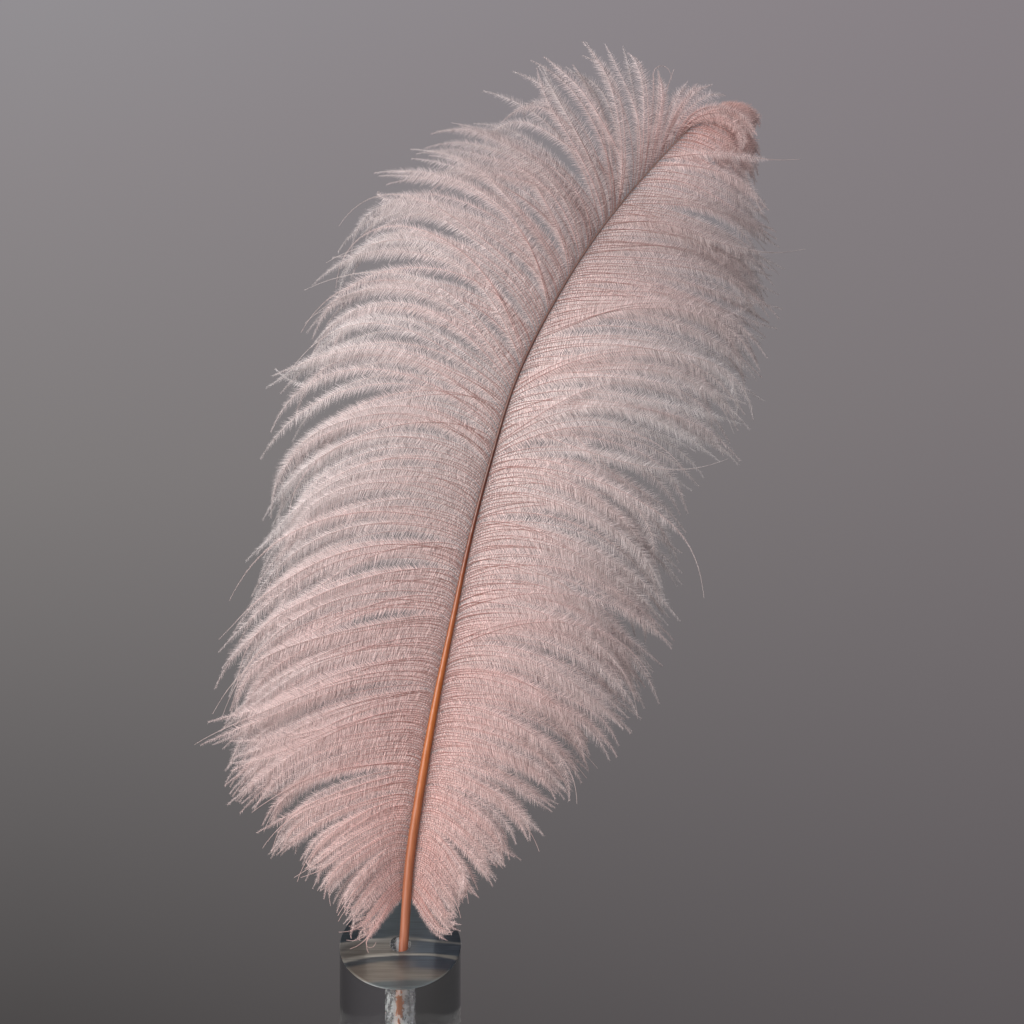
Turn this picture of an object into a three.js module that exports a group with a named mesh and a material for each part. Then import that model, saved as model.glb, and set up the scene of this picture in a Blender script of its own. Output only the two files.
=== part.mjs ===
// A dyed ostrich wing plume standing in a solid clear acrylic cylinder.
//
// The cylinder has a slanted, polished top that faces the front, and a round bore drilled down its axis.
// The quill of the feather stands in that bore: its end is on the drill point's cone, and it leans on the
// bore's mouth. Above it the shaft bends to the right, tapers all the way, and nods backwards at its tip.
// Two vanes of loose barbs grow from the shaft's sides. Each vane is one closed sheet here, as long and as
// wide as its barbs reach.
//
// Millimetres. +Z is up, -Y is the front, and the origin is the centre of the cylinder's base.

import * as THREE from "three";

// ---- Driving dimensions ----

const STAND = {
  diameter: 75,
  axisHeight: 125, // where the slanted top crosses the axis
  slant: 31.5, // degrees from level, rising to the back
  bevel: 0.8,
  sides: 72,
};

const BORE = {
  diameter: 12.7,
  depth: 62, // down the axis, from the slanted top to where the drill point's cone begins
  pointAngle: 118,
  chiselRadius: 0.4, // the flat that the drill's chisel edge leaves
};

// Centreline of the quill and shaft, from the quill's end in the bore to the tip.
const SHAFT_POINTS = [
  [-2.3, 2.1, 62.2],
  [2.2, -2.2, 126],
  [6.0, -4.5, 177],
  [13.4, -7.0, 226],
  [22.3, -9.0, 276],
  [32.5, -10.5, 325],
  [43.2, -11.5, 375],
  [56.0, -11.0, 424],
  [71.6, -9.0, 474],
  [95.7, -5.0, 523],
  [123.8, 0.0, 567],
  [161.3, 8.0, 612],
  [185.6, 15.0, 636],
  [199.5, 26.0, 644],
  [209.0, 39.0, 637],
  [212.5, 49.0, 622],
];

// The shaft's radius at shares of its length.
const SHAFT_RADII = [
  [0, 0.9],
  [0.015, 2.2],
  [0.05, 2.8],
  [0.15, 2.9],
  [0.22, 2.75],
  [0.32, 2.15],
  [0.45, 1.4],
  [0.58, 1.0],
  [0.75, 0.68],
  [0.9, 0.42],
  [1, 0.25],
];

const SHAFT_RINGS = 76;
const SHAFT_SIDES = 10;
const VANE_START = 0.15; // share of the shaft's length below which it is bare

// How the barbs grow, from the foot of the vane to its tip. at: share of the vane's length. length: of a
// barb. spread: degrees between the shaft's direction and the barb where it leaves the shaft. droop:
// degrees that the barb turns away from the tip by its end. back: how far behind the shaft it ends, as a
// share of its length.
const LEFT_BARBS = [
  { at: 0.0, length: 46, spread: 112, droop: 25, back: -0.2 },
  { at: 0.07, length: 74, spread: 104, droop: 35, back: -0.08 },
  { at: 0.15, length: 122, spread: 98, droop: 42, back: 0.02 },
  { at: 0.24, length: 164, spread: 98, droop: 50, back: 0.1 },
  { at: 0.35, length: 168, spread: 84, droop: 70, back: 0.14 },
  { at: 0.46, length: 174, spread: 66, droop: 90, back: 0.16 },
  { at: 0.56, length: 174, spread: 55, droop: 98, back: 0.16 },
  { at: 0.66, length: 158, spread: 52, droop: 92, back: 0.16 },
  { at: 0.75, length: 134, spread: 50, droop: 75, back: 0.16 },
  { at: 0.83, length: 98, spread: 48, droop: 55, back: 0.14 },
  { at: 0.9, length: 50, spread: 50, droop: 40, back: 0.12 },
  { at: 0.95, length: 28, spread: 85, droop: -10, back: 0.1 },
  { at: 1.0, length: 24, spread: 60, droop: -10, back: 0.1 },
];

const RIGHT_BARBS = [
  { at: 0.0, length: 38, spread: 112, droop: 30, back: -0.2 },
  { at: 0.07, length: 66, spread: 96, droop: 50, back: -0.08 },
  { at: 0.15, length: 102, spread: 74, droop: 50, back: 0.02 },
  { at: 0.24, length: 128, spread: 64, droop: 62, back: 0.1 },
  { at: 0.35, length: 148, spread: 58, droop: 72, back: 0.14 },
  { at: 0.46, length: 146, spread: 56, droop: 52, back: 0.16 },
  { at: 0.56, length: 152, spread: 56, droop: 40, back: 0.16 },
  { at: 0.66, length: 139, spread: 56, droop: 26, back: 0.16 },
  { at: 0.75, length: 114, spread: 54, droop: 24, back: 0.16 },
  { at: 0.83, length: 86, spread: 54, droop: 40, back: 0.14 },
  { at: 0.9, length: 52, spread: 54, droop: 55, back: 0.12 },
  { at: 0.95, length: 32, spread: 40, droop: 20, back: 0.1 },
  { at: 1.0, length: 20, spread: 45, droop: 20, back: 0.1 },
];

const BARB_BOW = 0.1; // how far a barb bows to the front on its way, as a share of its length
const BARB_BEND = 1.25; // above 1, a barb bends later
const SHAFT_GAP = 1.8; // between a vane and the shaft's side

const VANE = {
  stations: 52, // along the shaft
  steps: 12, // along a barb
  thickness: 4, // over most of its width
  edge: 1.6, // thickness at the barbs' ends
  tip: 0.5, // share of its thickness that is left at the plume's tip
};

const COLOURS = {
  acrylic: 0xdfe6e8,
  quill: 0xc4805c,
  plume: 0xdfb8b4,
};

// ---- Helpers ----

const radians = THREE.MathUtils.degToRad;

// Reads a smooth curve through a table of [at, value] pairs at a place between its rows.
function between(rows, place) {
  let i = 1;
  while (i < rows.length - 1 && rows[i][0] < place) i++;
  const share = (place - rows[i - 1][0]) / (rows[i][0] - rows[i - 1][0]);
  const curve = new THREE.SplineCurve(rows.map(([at, value]) => new THREE.Vector2(at, value)));
  return curve.getPoint((i - 1 + share) / (rows.length - 1)).y;
}

function column(stations, key) {
  return stations.map((station) => [station.at, station[key]]);
}

// A closed solid through rings of equally many points. cap lists the triangles that close an end, as
// indices into a ring.
function loft(rings, cap) {
  const size = rings[0].length;
  const index = [];
  for (let r = 0; r < rings.length - 1; r++) {
    for (let i = 0; i < size; i++) {
      const a = r * size + i;
      const b = r * size + ((i + 1) % size);
      index.push(a, b, b + size, a, b + size, a + size);
    }
  }
  const last = (rings.length - 1) * size;
  for (const [a, b, c] of cap) {
    index.push(a, c, b);
    index.push(last + a, last + b, last + c);
  }
  const geometry = new THREE.BufferGeometry().setFromPoints(rings.flat());
  geometry.setIndex(index);
  geometry.computeVertexNormals();
  return geometry;
}

// The triangles that close a round ring.
function fanCap(size) {
  return Array.from({ length: size - 2 }, (_, i) => [0, i + 1, i + 2]);
}

// The triangles that close a long thin ring, whose first half runs out and whose second half runs back.
function stripCap(size) {
  const triangles = [];
  for (let i = 0; i < size / 2 - 1; i++) {
    const opposite = size - 1 - i;
    triangles.push([i, i + 1, opposite - 1], [i, opposite - 1, opposite]);
  }
  return triangles;
}

function mesh(name, geometry, settings) {
  const made = new THREE.Mesh(geometry, new THREE.MeshStandardMaterial(settings));
  made.name = name;
  return made;
}

// ---- The acrylic cylinder ----

// Its skin is one loft, from the base up the side, over the slanted top and down into the bore.
function standGeometry() {
  const radius = STAND.diameter / 2;
  const boreRadius = BORE.diameter / 2;
  const rise = Math.tan(radians(STAND.slant));
  const top = STAND.axisHeight;
  const boreFloor = top - BORE.depth;
  const coneHeight = (boreRadius - BORE.chiselRadius) / Math.tan(radians(BORE.pointAngle / 2));
  const ring = (r, height, slope) =>
    Array.from({ length: STAND.sides }, (_, i) => {
      const angle = (i / STAND.sides) * 2 * Math.PI;
      const y = r * Math.sin(angle);
      return new THREE.Vector3(r * Math.cos(angle), y, height + slope * y);
    });
  const rings = [
    ring(radius - STAND.bevel, 0, 0),
    ring(radius, STAND.bevel, 0),
    ring(radius, top - STAND.bevel, rise),
    ring(radius - STAND.bevel, top, rise),
    ring(boreRadius, top, rise),
    ring(boreRadius, boreFloor, 0),
    ring(BORE.chiselRadius, boreFloor - coneHeight, 0),
  ];
  return loft(rings, fanCap(STAND.sides));
}

// ---- The shaft ----

const shaftCurve = new THREE.CatmullRomCurve3(
  SHAFT_POINTS.map((point) => new THREE.Vector3(...point)),
  false,
  "centripetal",
);

function shaftGeometry() {
  const frames = shaftCurve.computeFrenetFrames(SHAFT_RINGS, false);
  const rings = Array.from({ length: SHAFT_RINGS + 1 }, (_, i) => {
    const centre = shaftCurve.getPointAt(i / SHAFT_RINGS);
    const radius = between(SHAFT_RADII, i / SHAFT_RINGS);
    return Array.from({ length: SHAFT_SIDES }, (_, k) => {
      const angle = (k / SHAFT_SIDES) * 2 * Math.PI;
      return centre
        .clone()
        .addScaledVector(frames.normals[i], radius * Math.cos(angle))
        .addScaledVector(frames.binormals[i], radius * Math.sin(angle));
    });
  });
  return loft(rings, fanCap(SHAFT_SIDES));
}

// ---- The vanes ----

// The path of the barb at a share of the vane's length, on the left (side -1) or on the right (side 1).
function barbPath(stations, side, at) {
  const value = (key) => between(column(stations, key), at);
  const place = VANE_START + (1 - VANE_START) * at;
  const along = shaftCurve.getTangentAt(place);
  const heading = Math.atan2(along.z, along.x);
  const out = heading - (side * Math.PI) / 2;
  const clear = between(SHAFT_RADII, place) + SHAFT_GAP;
  const length = value("length");
  const point = shaftCurve.getPointAt(place);
  const rootY = point.y;
  point.x += clear * Math.cos(out);
  point.z += clear * Math.sin(out);
  const path = [point.clone()];
  for (let i = 0; i < VANE.steps; i++) {
    const bend = Math.sin(((i + 0.5) / VANE.steps) * (Math.PI / 2)) ** BARB_BEND;
    const angle = heading - side * radians(value("spread") + value("droop") * bend);
    const share = (i + 1) / VANE.steps;
    point.x += (length / VANE.steps) * Math.cos(angle);
    point.z += (length / VANE.steps) * Math.sin(angle);
    point.y = rootY + length * (value("back") * share ** 2 - BARB_BOW * Math.sin(share * Math.PI));
    path.push(point.clone());
  }
  return path;
}

// A sheet spanned by the barbs' paths. It is thickest near the shaft, and thins to its edge and its tip.
function vaneGeometry(stations, side) {
  const paths = Array.from({ length: VANE.stations + 1 }, (_, i) =>
    barbPath(stations, side, i / VANE.stations),
  );
  const rings = paths.map((path, i) => {
    const before = paths[Math.max(i - 1, 0)];
    const after = paths[Math.min(i + 1, VANE.stations)];
    const thinning = THREE.MathUtils.lerp(1, VANE.tip, (i / VANE.stations) ** 3);
    const face = [];
    const back = [];
    path.forEach((point, k) => {
      const out = path[Math.min(k + 1, VANE.steps)].clone().sub(path[Math.max(k - 1, 0)]);
      const up = after[k].clone().sub(before[k]);
      const normal = out.cross(up).normalize();
      const body = Math.cos((k / VANE.steps) * (Math.PI / 2));
      const half = (thinning * THREE.MathUtils.lerp(VANE.edge, VANE.thickness, body)) / 2;
      face.push(point.clone().addScaledVector(normal, half));
      back.push(point.clone().addScaledVector(normal, -half));
    });
    return [...face, ...back.reverse()];
  });
  return loft(rings, stripCap(rings[0].length));
}

// ---- The whole ----

const quillLook = { color: COLOURS.quill, roughness: 0.4, metalness: 0 };
const plumeLook = { color: COLOURS.plume, roughness: 0.9, metalness: 0 };
const acrylicLook = { color: COLOURS.acrylic, roughness: 0.05, metalness: 0 };

const plume = new THREE.Group();
plume.add(
  mesh("quill_and_shaft", shaftGeometry(), quillLook),
  mesh("left_vane", vaneGeometry(LEFT_BARBS, -1), plumeLook),
  mesh("right_vane", vaneGeometry(RIGHT_BARBS, 1), plumeLook),
);

const featherInStand = new THREE.Group();
featherInStand.add(mesh("acrylic_stand", standGeometry(), acrylicLook), plume);

export default featherInStand;
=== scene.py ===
"""A dyed ostrich wing plume standing in a solid clear acrylic cylinder with a slanted top.

The vanes are grown barb by barb: each barb is a tapering rib that leaves the shaft, arcs over and droops,
and carries a barbule every fraction of a millimetre on both sides. Barbs gather into locks towards their
tips. Lengths are in millimetres until a mesh is made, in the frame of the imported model: +Z up, -Y to the
front, the origin at the centre of the stand's base.
"""

import math
from types import SimpleNamespace

import bpy
import numpy as np
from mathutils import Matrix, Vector


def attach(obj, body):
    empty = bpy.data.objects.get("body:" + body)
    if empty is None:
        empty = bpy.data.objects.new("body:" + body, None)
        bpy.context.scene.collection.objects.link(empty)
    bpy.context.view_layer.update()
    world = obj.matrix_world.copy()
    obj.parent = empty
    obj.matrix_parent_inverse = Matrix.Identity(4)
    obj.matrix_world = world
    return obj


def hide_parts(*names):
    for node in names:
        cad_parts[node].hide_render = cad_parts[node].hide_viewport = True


MM = 0.001
SEED = 11

# ---- The photograph's view ----

PHOTO_SIZE = 1024
PHOTO_SCALE = 0.6188  # millimetres a pixel at the stand's axis
MOUTH_PIXEL = (400.3, 944.0)  # the middle of the bore's mouth
MOUTH_HEIGHT = 125.0
CAMERA_DISTANCE = 2400.0
SENSOR_WIDTH = 36.0

# ---- The stand ----

STAND_RADIUS = 37.5
STAND_SLANT = math.radians(31.5)
STAND_BEVEL = 0.8
STAND_SIDES = 144
EDGE_STEPS = 5  # rings of vertices in a rounded edge
EDGE_GUARD = 0.5  # from a rounded edge to the ring that keeps the surface beside it true
CREASE = math.radians(25)
BORE_RADIUS = 6.35
BORE_DEPTH = 62.0
BORE_POINT = math.radians(118)
BORE_CHISEL = 0.4
BORE_RINGS = 150
MOUTH_BEVEL = 0.3
DRILL_PITCH = 1.9
DRILL_MARK = 0.3

# ---- The shaft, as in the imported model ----

SHAFT_POINTS = [
    (-2.3, 2.1, 62.2),
    (2.2, -2.2, 126),
    (6.0, -4.5, 177),
    (13.4, -7.0, 226),
    (22.3, -9.0, 276),
    (32.5, -10.5, 325),
    (43.2, -11.5, 375),
    (56.0, -11.0, 424),
    (71.6, -9.0, 474),
    (95.7, -5.0, 523),
    (123.8, 0.0, 567),
    (161.3, 8.0, 612),
    (185.6, 15.0, 636),
    (199.5, 26.0, 644),
    (209.0, 39.0, 637),
    (212.5, 49.0, 622),
]
SHAFT_RADII = [
    (0, 0.9),
    (0.015, 2.2),
    (0.05, 2.8),
    (0.15, 2.9),
    (0.22, 2.75),
    (0.32, 2.15),
    (0.45, 1.4),
    (0.58, 1.0),
    (0.75, 0.68),
    (0.9, 0.42),
    (1, 0.25),
]
SHAFT_RINGS = 220
SHAFT_SIDES = 20
QUILL_POINT = 0.5  # how far the quill's end stands proud of its last ring
VANE_START = 0.15  # share of the shaft's length below which it is bare
VANE_FOOT = 0.013  # how much lower the last few barbs grow

# ---- The barbs: how they lie ----

# Place on the vane, as a share of its length; a barb's length; its spread, the degrees from the shaft's
# direction to the barb's; its droop, the degrees that it turns on its way; and how far behind the shaft it
# ends, as a share of its length.
LEFT_BARBS = [
    (0.00, 46, 158, -20, -0.20),
    (0.02, 50, 142, 0, -0.18),
    (0.04, 60, 122, 24, -0.14),
    (0.07, 84, 106, 38, -0.08),
    (0.10, 110, 101, 36, -0.04),
    (0.15, 132, 96, 44, 0.02),
    (0.24, 162, 92, 56, 0.10),
    (0.35, 170, 78, 82, 0.14),
    (0.46, 164, 62, 102, 0.16),
    (0.56, 164, 50, 98, 0.16),
    (0.64, 152, 46, 90, 0.16),
    (0.70, 134, 44, 76, 0.16),
    (0.76, 112, 38, 54, 0.16),
    (0.81, 80, 28, 16, 0.12),
    (0.85, 54, 38, -40, 0.02),
    (0.88, 56, 26, -118, -0.10),
    (0.91, 43, 14, -112, -0.14),
    (0.95, 25, 12, -60, -0.12),
    (1.00, 18, 20, -30, -0.10),
]
RIGHT_BARBS = [
    (0.00, 38, 158, -25, -0.20),
    (0.02, 42, 140, 4, -0.18),
    (0.04, 52, 118, 30, -0.14),
    (0.07, 66, 98, 46, -0.08),
    (0.15, 97, 76, 48, 0.02),
    (0.24, 130, 64, 58, 0.10),
    (0.35, 148, 56, 76, 0.14),
    (0.46, 142, 54, 64, 0.16),
    (0.56, 156, 54, 44, 0.16),
    (0.66, 140, 52, 36, 0.16),
    (0.75, 114, 50, 34, 0.16),
    (0.83, 86, 52, 46, 0.14),
    (0.90, 52, 54, 55, 0.12),
    (0.95, 32, 40, 20, 0.10),
    (1.00, 20, 45, 20, 0.10),
]

# Locks that stand out from their neighbours: their place on the vane, half their width, how many degrees
# they turn from the others' spread and droop, how far they lie behind the others, and the share of their
# length by which they are longer.
LEFT_LOCKS = [
    (0.525, 0.014, 14, -26, -10, 0.0),
    (0.60, 0.010, -7, 34, -9, 0.05),
    (0.66, 0.012, 3, -10, -8, 0.0),
    (0.705, 0.010, 4, 40, -8, 0.15),
    (0.785, 0.007, 24, 52, -7, 0.30),
    (0.42, 0.014, -10, 10, -6, 0.0),
]
RIGHT_LOCKS = [
    (0.535, 0.014, -24, 20, -10, 0.0),
    (0.475, 0.012, -18, -22, -10, 0.0),
    (0.50, 0.010, -6, 50, -8, 0.05),
    (0.25, 0.016, -14, 10, -6, 0.0),
]

# Single barbs that stray from the rest: place on the vane, length, spread, droop.
LEFT_STRAYS = [
    (0.28, 168, 100, 36),
    (0.33, 174, 97, 44),
    (0.48, 167, 76, 82),
    (0.60, 155, 84, 46),
    (0.605, 150, 85, 45),
]
RIGHT_STRAYS = [
    (0.30, 148, 73, 70),
    (0.45, 173, 70, 54),
    (0.50, 146, 100, -30),
    (0.775, 121, 88, -34),
    (0.84, 88, 42, 16),
]
STRAY_LIFT = -5.0

# How many degrees the strands' droop differs among neighbours, by place on the vane. Those that droop more
# are longer.
LEFT_FAN = [(0, 3), (0.5, 6), (0.6, 18), (0.68, 38), (0.77, 42), (0.83, 22), (0.88, 3), (1, 0)]
RIGHT_FAN = [(0, 3), (0.3, 6), (0.45, 20), (0.6, 16), (0.75, 10), (1, 0)]
FAN_LENGTH = 0.0035  # share of its length that a strand gains with each degree
VEIL_FAN = 0.25  # share of that difference which the veil keeps

BARBS_A_SIDE = 340
CROWDING = [(0, 0), (0.25, 0.17), (0.5, 0.42), (0.8, 0.78), (1, 1)]  # share of the barbs, place on the vane
PARTING = [(0, 0.3), (0.35, 0.4), (0.5, 0.85), (0.62, 0.95), (0.78, 0.65), (1, 0.3)]  # how much locks part
LOCK_SIZES = (8, 20)  # barbs in a broad lock: from, to below
STRAND_SIZES = (2, 5)
LOOSE_SHARE = 0.35  # of the strands
VEIL_EVERY = 3
VEIL_DEPTH = 5.0

# What wanders along the shaft: by how much, over how many millimetres, and by how much more from lock to
# lock. Degrees, degrees, a share of the length, millimetres.
SPREAD_WANDER = (4, 45, 1.7)
DROOP_WANDER = (8, 35, 4)
LENGTH_WANDER = (0.04, 20, 0.04)
LIFT_WANDER = (6, 26, 3)

# What differs by chance among single barbs and among strands: degrees of spread and droop, millimetres of
# lift, shares of length.
SPREAD_CHANCE = 1.2
STRAND_ASTRAY = (0.7, 1.2)  # of spread: everywhere, and more where locks part
LOOSE_ASTRAY = (1.5, 7.5)
DROOP_CHANCE = 4
VEIL_DROOP_CHANCE = 1.5
STRAND_DROOP = 3
LOOSE_DROOP = 8
STRAND_LIFT = 1.8
LOOSE_LIFT = -4
LENGTH_CHANCE = 0.05

BARE_TIPS = (0.08, 0.4)  # share of the barbs that end in a bare hair: everywhere, and more at the foot
BARE_LENGTHS = (0.95, 1.12)
HOOKED_TIPS = (0.02, 0.28)
HOOK_TURN = (90, 200)  # degrees
BARB_BOW = 0.1  # forward, as a share of the length
BARB_BEND = 0.85  # below 1, a barb turns more near the shaft
BEND_CHANCE = 0.35
TIP_CURL = 14  # degrees
CURL_CHANCE = 12
SWAY = 1.5  # degrees
SWAY_WAVES = 7  # radians along a barb
HUG_FROM = 36  # degrees of spread beyond which a barb's start hugs the shaft
HUG_REACH = 5.5

# ---- The barbs: what they are made of ----

BARB_STEPS = 26
RIB_RADIUS = (0.22, 0.045)  # at the shaft, at the tip
BARE_RADIUS = 0.14  # at the tip of a bare hair
BARBULE_SPACING = 0.19
BARBULE_LENGTH = 6.2
BARBULE_WIDTH = 0.17
BARBULE_SET = 0.7  # how far behind its rib's middle a barbule starts
BARBULE_LEAN = 66  # degrees from the barb's direction
LEAN_CLOSES = (18, 20)  # how much less along the barb, and over its last fifth
FULL_FROM = (3, 13)  # from the shaft to the first barbules of full length, at the foot and further up
SHORTEST_BARBULE = 0.36  # beside the shaft, as a share of the length
FLUFF = [(0, 0.45), (0.05, 0.7), (0.2, 1.05), (0.5, 1.0), (0.8, 0.85), (1, 0.6)]  # how long, by place
TUFT = 4  # barbules that lean together
TUFT_PULL = 0.75
LAP = 0.08  # radians that a barb's strip rolls, to lie over the next
ROLL = 0.12  # radians that it rolls by chance
SAG = 0.12

# The stretches of a vane that are a piece each.
STRETCHES = [("base", 0.0, 0.25), ("lower", 0.25, 0.45), ("middle", 0.45, 0.65), ("upper", 0.65, 1.01)]

# ---- Colours, as stops of ramps ----

WHITE = (1.0, 1.0, 1.0)
DOWN_ALONG_BARB = [(0, (0.98, 0.83, 0.81)), (0.4, (0.89, 0.775, 0.765)), (1, (0.76, 0.71, 0.71))]
RIB_ALONG_BARB = [(0, (0.49, 0.25, 0.21)), (0.3, (0.68, 0.45, 0.42)), (1, (0.82, 0.74, 0.73))]
# Painted highlight and shade on the barbules: a tuft that stands proud is painted lighter and one that lies
# lower darker, over a random tone.
DOWN_TUFT_SHADE_AND_TONE = [(0, (0.50, 0.48, 0.48)), (0.5, (0.82, 0.81, 0.81)), (1, WHITE)]
BARB_TINTS = [(0, (1.0, 0.94, 0.93)), (1, (0.98, 1.0, 1.0))]
DOWN_UP_VANE = [
    (0, (1.0, 0.85, 0.82)),
    (0.2, (0.93, 0.845, 0.835)),
    (0.45, (0.95, 0.95, 0.95)),
    (0.55, WHITE),
    (0.64, (0.90, 0.87, 0.87)),
    (0.72, (0.76, 0.72, 0.72)),
    (0.78, (0.78, 0.74, 0.74)),
    (0.84, (0.92, 0.85, 0.85)),
    (1, (0.92, 0.82, 0.82)),
]
SALMON_FOLD = [(0.82, WHITE), (0.90, (0.87, 0.69, 0.64))]
# Up to 0.078 the quill's own coral is painted lighter inside the bore, painted light against the shade of the
# bore's wall; the dark stop at 0.084 is a painted shadow where the quill enters the bore's mouth.
QUILL_TO_TIP_WITH_PAINTED_LIGHT = [
    (0.0, (0.80, 0.34, 0.19)),
    (0.078, (0.80, 0.34, 0.19)),
    (0.084, (0.17, 0.045, 0.02)),
    (0.098, (0.28, 0.095, 0.048)),
    (0.17, (0.26, 0.08, 0.032)),
    (0.30, (0.32, 0.085, 0.012)),
    (0.40, (0.24, 0.06, 0.012)),
    (0.46, (0.13, 0.025, 0.005)),
    (0.52, (0.075, 0.015, 0.005)),
    (0.66, (0.085, 0.032, 0.023)),
    (0.80, (0.13, 0.072, 0.06)),
    (1.0, (0.26, 0.16, 0.13)),
]
QUILL_STREAKS = [(0.3, (0.74, 0.70, 0.68)), (0.7, WHITE)]
# A grey tint, darker than clear acrylic, that paints shade into all that is seen through the stand.
ACRYLIC_SHADE_TINT = (0.60, 0.62, 0.63)
ACRYLIC_IOR = 1.49

# Painted reflections on the slanted face, in bands that follow the saw's arcs, from below to above, at its
# left and at its right.
REFLECTED_BANDS_LEFT = [
    (0.11, (0.08, 0.104, 0.112)),
    (0.15, (0.248, 0.204, 0.164)),
    (0.31, (0.216, 0.18, 0.148)),
    (0.335, (0.064, 0.072, 0.08)),
    (0.37, (0.08, 0.088, 0.096)),
    (0.385, (0.48, 0.44, 0.384)),
    (0.405, (0.4, 0.36, 0.312)),
    (0.43, (0.168, 0.144, 0.124)),
    (0.50, (0.24, 0.212, 0.184)),
    (0.52, (0.176, 0.16, 0.144)),
    (0.565, (0.416, 0.384, 0.352)),
    (0.58, (0.04, 0.056, 0.072)),
    (1.0, (0.056, 0.08, 0.096)),
]
REFLECTED_BANDS_RIGHT = [
    (0.11, (0.08, 0.104, 0.112)),
    (0.15, (0.16, 0.144, 0.124)),
    (0.24, (0.12, 0.112, 0.104)),
    (0.27, (0.04, 0.056, 0.08)),
    (0.37, (0.048, 0.064, 0.088)),
    (0.385, (0.4, 0.368, 0.32)),
    (0.40, (0.32, 0.296, 0.256)),
    (0.415, (0.056, 0.072, 0.096)),
    (0.53, (0.056, 0.072, 0.096)),
    (0.55, (0.336, 0.32, 0.288)),
    (0.57, (0.048, 0.064, 0.088)),
    (1.0, (0.056, 0.08, 0.096)),
]
SAW_SCRATCHES = [(0.35, (0.55, 0.56, 0.58)), (0.65, WHITE)]
DRILL_FLAKES = [(0.4, (0.55, 0.57, 0.58)), (0.58, (0.95, 0.96, 0.97))]
FLOOR_COLOURS = [(0.3, (0.37, 0.355, 0.33)), (0.7, (0.39, 0.375, 0.35))]
BACKDROP = [
    (0.0, (0.045, 0.046, 0.050)),
    (0.22, (0.042, 0.044, 0.048)),
    (0.31, (0.066, 0.060, 0.061)),
    (0.375, (0.135, 0.124, 0.127)),
    (0.44, (0.208, 0.191, 0.194)),
    (0.51, (0.262, 0.238, 0.252)),
    (0.55, (0.290, 0.270, 0.290)),
    (0.70, (0.19, 0.18, 0.19)),
    (1.0, (0.12, 0.115, 0.12)),
]
BACKDROP_HUES = [(0, (1.0, 1.02, 1.0)), (1, (0.98, 0.965, 0.985))]

# ---- The studio ----

# Lights: name, place and target in metres, size, watts, colour.
LIGHTS = [
    ("key", (-1.3, -1.3, 0.72), (0.05, 0, 0.33), (1.2, 0.8), 73, (1.0, 0.98, 0.96)),
    ("fill", (1.65, -1.6, 1.45), (0.16, 0, 0.58), (1.5, 1.1), 33, (0.96, 0.98, 1.0)),
    ("top", (-0.5, -0.3, 2.0), (0.05, 0, 0.4), (1.2, 1.2), 8, (1.0, 1.0, 1.0)),
]
FLOOR_RADIUS = 430.0
FLOOR_CENTRE_Y = -182.0
FLOOR_SIDES = 96


# ---- Curves ----


def through(rows, places):
    """Reads the smooth curve through the rows of a table, (place, values...), at many places."""
    rows = np.asarray(rows, float)
    places = np.asarray(places, float)
    knots, values = rows[:, 0], rows[:, 1:]
    i = np.clip(np.searchsorted(knots, places, side="left"), 1, len(knots) - 1)
    t = ((places - knots[i - 1]) / (knots[i] - knots[i - 1]))[..., None]
    last = len(knots) - 1
    p0, p1, p2, p3 = (values[np.clip(i + k, 0, last)] for k in (-2, -1, 0, 1))
    slope1, slope2 = (p2 - p0) / 2, (p3 - p1) / 2
    return (
        (2 * p1 - 2 * p2 + slope1 + slope2) * t**3
        + (-3 * p1 + 3 * p2 - 2 * slope1 - slope2) * t**2
        + slope1 * t
        + p1
    )


def centripetal(points, per_span=60):
    """Points along the centripetal Catmull-Rom curve through points."""
    points = np.asarray(points, float)
    ends = [2 * points[0] - points[1], *points, 2 * points[-1] - points[-2]]
    t = np.linspace(0, 1, per_span, endpoint=False)[:, None]
    out = []
    for a, b, c, d in zip(ends, ends[1:], ends[2:], ends[3:]):
        t0, t1, t2 = (math.dist(u, v) ** 0.5 for u, v in ((a, b), (b, c), (c, d)))
        m1 = t1 * ((b - a) / t0 - (c - a) / (t0 + t1) + (c - b) / t1)
        m2 = t1 * ((c - b) / t1 - (d - b) / (t1 + t2) + (d - c) / t2)
        out.append(
            (2 * t**3 - 3 * t**2 + 1) * b
            + (t**3 - 2 * t**2 + t) * m1
            + (3 * t**2 - 2 * t**3) * c
            + (t**3 - t**2) * m2
        )
    return np.vstack([*out, points[-1:]])


def unit(v):
    return v / np.maximum(np.linalg.norm(v, axis=-1, keepdims=True), 1e-9)


def eased(low, high, x):
    """0 at low, 1 at high, with a smooth start and end."""
    t = np.clip((x - low) / (high - low), 0, 1)
    return t * t * (3 - 2 * t)


def near_foot(at, reach):
    """1 at the vane's foot, fading over a reach that is a share of its length."""
    return np.exp(-at / reach)


def wander(x, wavelength, rng):
    """Smooth noise from -1 to 1 along x."""
    knots = rng.uniform(-1, 1, int(np.max(x) / wavelength) + 3)
    i = np.floor(x / wavelength).astype(int)
    t = x / wavelength - i
    t = t * t * (3 - 2 * t)
    return knots[i] * (1 - t) + knots[i + 1] * t


class Shaft:
    """The shaft's centreline, read by the share of its length."""

    def __init__(self):
        self.line = centripetal(SHAFT_POINTS)
        steps = np.linalg.norm(np.diff(self.line, axis=0), axis=1)
        self.run = np.concatenate([[0], np.cumsum(steps)])
        self.length = self.run[-1]

    def point(self, share):
        run = np.asarray(share) * self.length
        return np.stack([np.interp(run, self.run, self.line[:, k]) for k in range(3)], -1)

    def tangent(self, share, reach=0.004):
        share = np.asarray(share)
        return unit(self.point(np.clip(share + reach, 0, 1)) - self.point(np.clip(share - reach, 0, 1)))

    def radius(self, share):
        return through(SHAFT_RADII, share)[..., 0]


# ---- Meshes ----


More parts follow.
